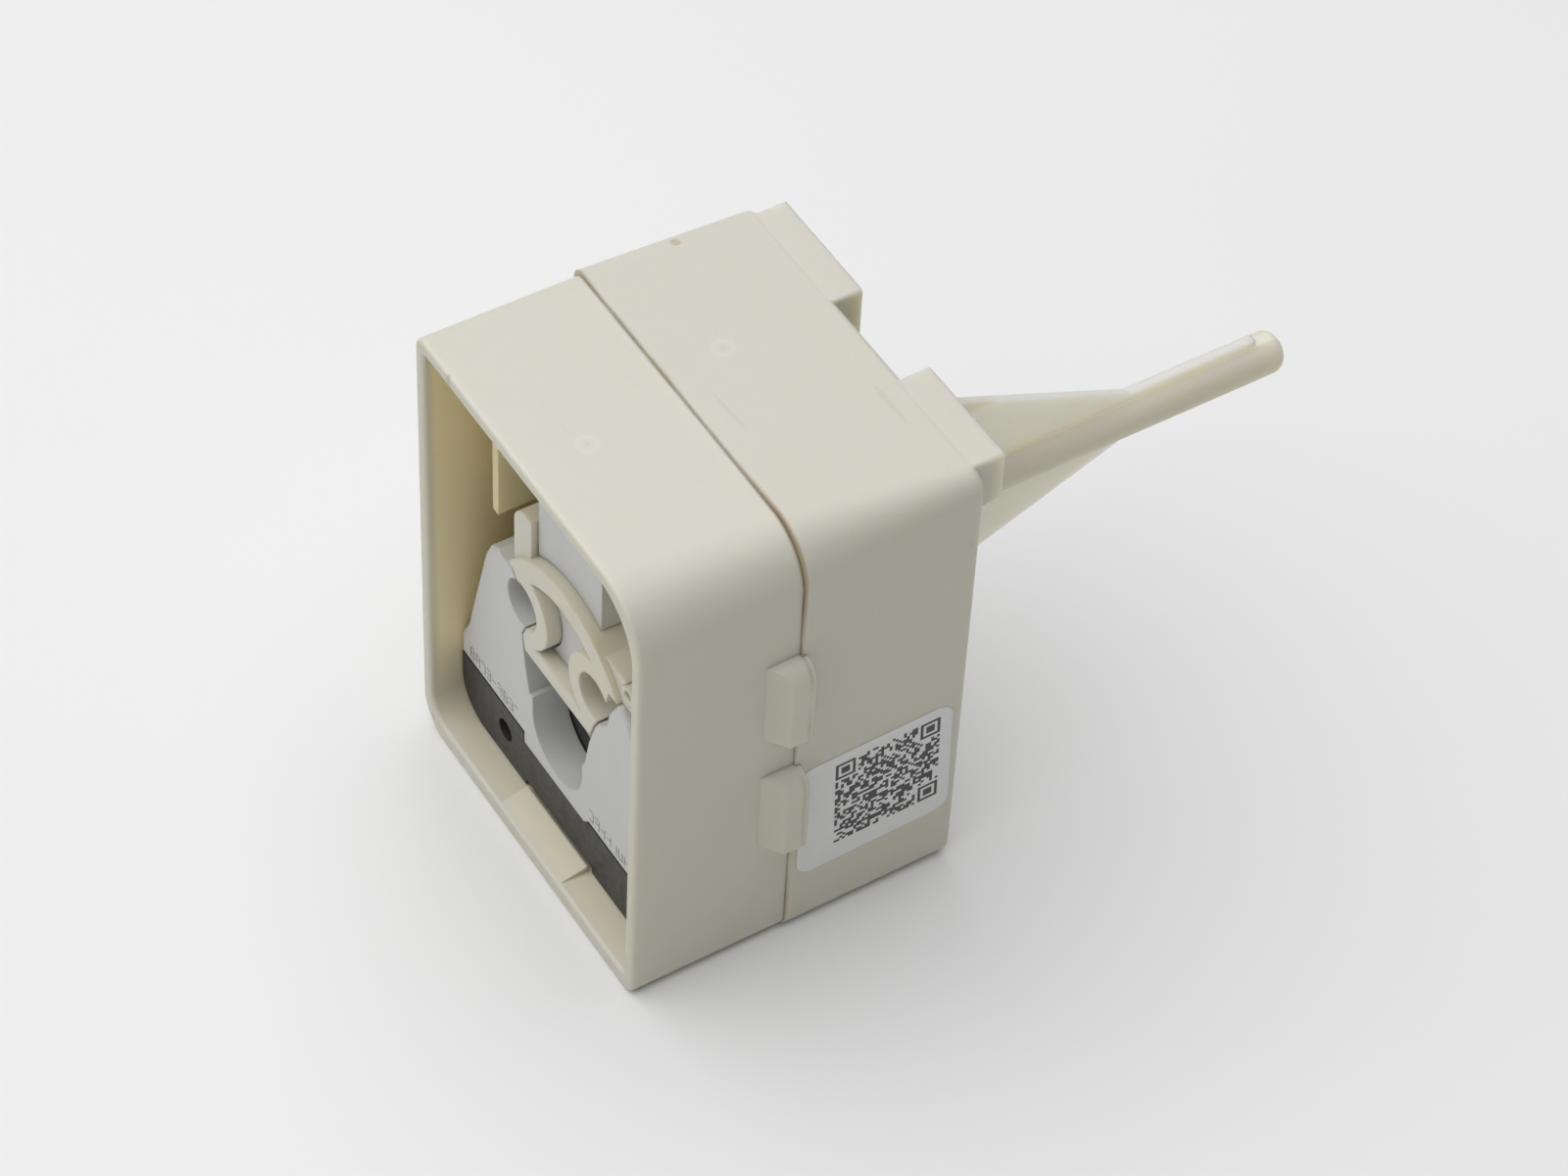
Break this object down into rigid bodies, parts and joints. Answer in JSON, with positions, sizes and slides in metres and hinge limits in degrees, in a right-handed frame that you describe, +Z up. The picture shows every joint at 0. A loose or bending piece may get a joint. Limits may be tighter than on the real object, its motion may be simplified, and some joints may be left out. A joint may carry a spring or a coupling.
{
  "type": "compressor start device",
  "caption": "Plug-on start device for a small refrigeration compressor: snap-together housing with tail arm, overload protector and ceramic starter.",
  "frame": {"origin": "under the middle of the overall box, on the surface that the housing stands on", "axes": "+Z up; +Y from the open front face along the tail arm; +X to the right as seen from the open front"},
  "size_m": [0.0538, 0.093, 0.0652],
  "materials": {
    "housing": "fine satin moulded surface",
    "cover_plastic": "satin",
    "grey_plastic": "satin",
    "black_plastic": "satin phenolic",
    "label": "smooth white film",
    "tinned_metal": "tin plated",
    "brass": "rolled strip",
    "silver": "silver contact alloy",
    "bimetal": "rolled strip",
    "ceramic": "fired ceramic with metal faces"
  },
  "bodies": {
    "housing": {"front_frame": "housing", "rear_housing": "housing", "label": "label", "starter_base": "grey_plastic", "starter_back_cap": "grey_plastic", "starter_cover": "cover_plastic", "start_socket": "tinned_metal", "run_socket": "tinned_metal", "start_blade": "tinned_metal", "run_blade": "tinned_metal", "ptc_pill": "ceramic", "left_ptc_spring": "tinned_metal", "right_ptc_spring": "tinned_metal", "cover_eyelet": "cover_plastic"},
    "protector": {"protector_cover": "grey_plastic", "protector_base": "black_plastic", "protector_back_cap": "black_plastic", "common_socket": "tinned_metal", "line_blade": "tinned_metal", "left_contact_strip": "brass", "right_contact_strip": "brass", "fixed_contacts": "silver", "calibration_stud": "brass", "heater_strip": "bimetal"},
    "snap_disc": {"bimetal_disc": "bimetal", "moving_contacts": "silver"}
  },
  "joints": [
    {"name": "protector_pull", "type": "slide", "parent": "housing", "child": "protector", "axis": [0, -1, 0], "range_m": [0, 0.022]},
    {"name": "disc_snap", "type": "slide", "parent": "protector", "child": "snap_disc", "axis": [0, 1, 0], "range_m": [0, 0.0007], "stiffness_N_per_m": 400}
  ]
}
